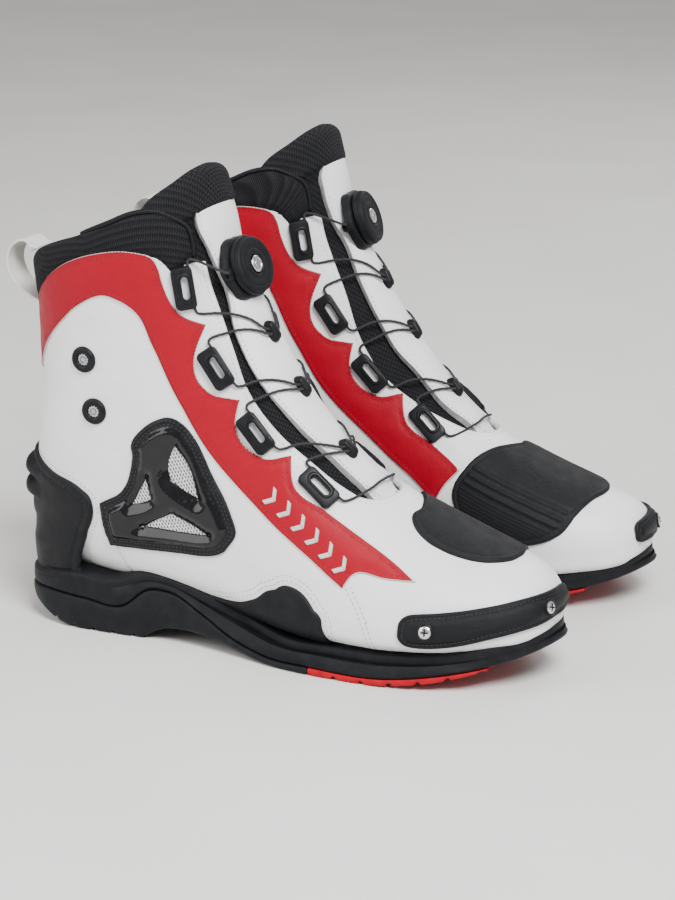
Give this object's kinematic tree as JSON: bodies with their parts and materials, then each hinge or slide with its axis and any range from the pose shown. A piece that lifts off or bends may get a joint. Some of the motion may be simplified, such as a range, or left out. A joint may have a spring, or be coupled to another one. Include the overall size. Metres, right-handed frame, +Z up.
{
  "type": "motorcycle boots",
  "caption": "Pair of short riding boots with padded knit collars, moulded guards, a lugged sole and dial lacing over a knit tongue.",
  "frame": {"origin": "middle of the pair's bounding box in plan, on the ground under the soles", "axes": "+X towards the toes, +Y towards the left boot, +Z up"},
  "size_m": [0.314, 0.243, 0.2463],
  "materials": {
    "black_rubber": "matt",
    "red_rubber": "matt",
    "white_leather": "smooth, semi-gloss",
    "red_leather": "smooth, semi-gloss",
    "black_leather": "matt grain",
    "black_knit": "knitted, matt",
    "black_plastic": "satin",
    "grey_foam": "matt",
    "webbing": "woven",
    "lace_cord": "smooth cord",
    "silver_metal": "satin"
  },
  "bodies": {
    "right_boot": {"right_outsole": "black_rubber", "right_midsole": "black_rubber", "right_tread_insert": "red_rubber", "right_footbed": "grey_foam", "right_upper": "white_leather", "right_side_rand": "black_rubber", "right_heel_counter": "black_leather", "right_collar": "black_knit", "right_pull_loop": "webbing", "right_red_panel_outer": "red_leather", "right_red_panel_inner": "red_leather", "right_ankle_guard_outer": "black_plastic", "right_ankle_guard_inner": "black_plastic", "right_shift_pad": "black_leather", "right_toe_slider": "black_leather", "right_lace": "lace_cord", "right_lace_guide_outer_1": "black_plastic", "right_lace_guide_outer_2": "black_plastic", "right_lace_guide_outer_3": "black_plastic", "right_lace_guide_outer_4": "black_plastic", "right_lace_guide_inner_1": "black_plastic", "right_lace_guide_inner_2": "black_plastic", "right_lace_guide_inner_3": "black_plastic", "right_lace_guide_inner_4": "black_plastic"},
    "right_tongue": {"right_tongue": "black_knit", "right_tongue_shield": "white_leather", "right_dial_base": "black_plastic"},
    "right_spindle": {"right_dial_spindle": "silver_metal"},
    "right_knob": {"right_dial_knob": "black_plastic"},
    "right_spool": {"right_dial_spool": "black_plastic"},
    "left_boot": {"left_outsole": "black_rubber", "left_midsole": "black_rubber", "left_tread_insert": "red_rubber", "left_footbed": "grey_foam", "left_upper": "white_leather", "left_side_rand": "black_rubber", "left_heel_counter": "black_leather", "left_collar": "black_knit", "left_pull_loop": "webbing", "left_red_panel_outer": "red_leather", "left_red_panel_inner": "red_leather", "left_ankle_guard_outer": "black_plastic", "left_ankle_guard_inner": "black_plastic", "left_shift_pad": "black_leather", "left_toe_slider": "black_leather", "left_lace": "lace_cord", "left_lace_guide_outer_1": "black_plastic", "left_lace_guide_outer_2": "black_plastic", "left_lace_guide_outer_3": "black_plastic", "left_lace_guide_outer_4": "black_plastic", "left_lace_guide_inner_1": "black_plastic", "left_lace_guide_inner_2": "black_plastic", "left_lace_guide_inner_3": "black_plastic", "left_lace_guide_inner_4": "black_plastic"},
    "left_tongue": {"left_tongue": "black_knit", "left_tongue_shield": "white_leather", "left_dial_base": "black_plastic"},
    "left_spindle": {"left_dial_spindle": "silver_metal"},
    "left_knob": {"left_dial_knob": "black_plastic"},
    "left_spool": {"left_dial_spool": "black_plastic"}
  },
  "joints": [
    {"name": "right_tongue_tilt", "type": "hinge", "parent": "right_boot", "child": "right_tongue", "pos_m": [0.057, -0.068, 0.079], "axis": [0, 1, 0], "range_deg": [0, 12], "deforming": ["right_tongue", "right_lace"]},
    {"name": "right_dial_pull", "type": "slide", "parent": "right_tongue", "child": "right_spindle", "axis": [0.9292, -0.1199, 0.3497], "range_m": [0, 0.0025]},
    {"name": "right_knob_turn", "type": "hinge", "parent": "right_spindle", "child": "right_knob", "pos_m": [-0.02183, -0.06993, 0.19353], "axis": [0.9292, -0.1199, 0.3497], "continuous": true},
    {"name": "right_spool_turn", "type": "hinge", "parent": "right_tongue", "child": "right_spool", "pos_m": [-0.02183, -0.06993, 0.19353], "axis": [0.9292, -0.1199, 0.3497], "continuous": true},
    {"name": "left_tongue_tilt", "type": "hinge", "parent": "left_boot", "child": "left_tongue", "pos_m": [0.057, 0.068, 0.079], "axis": [0, 1, 0], "range_deg": [0, 12], "deforming": ["left_tongue", "left_lace"]},
    {"name": "left_dial_pull", "type": "slide", "parent": "left_tongue", "child": "left_spindle", "axis": [0.9292, 0.1199, 0.3497], "range_m": [0, 0.0025]},
    {"name": "left_knob_turn", "type": "hinge", "parent": "left_spindle", "child": "left_knob", "pos_m": [-0.02183, 0.06993, 0.19353], "axis": [0.9292, 0.1199, 0.3497], "continuous": true},
    {"name": "left_spool_turn", "type": "hinge", "parent": "left_tongue", "child": "left_spool", "pos_m": [-0.02183, 0.06993, 0.19353], "axis": [0.9292, 0.1199, 0.3497], "continuous": true},
    {"name": "left_boot_apart", "type": "slide", "parent": "right_boot", "child": "left_boot", "axis": [0, 1, 0], "range_m": [0, 0.15]}
  ],
  "couplings": [
    {"joint": "right_spool_turn", "follows": "right_knob_turn", "ratio": 1},
    {"joint": "left_spool_turn", "follows": "left_knob_turn", "ratio": 1}
  ]
}
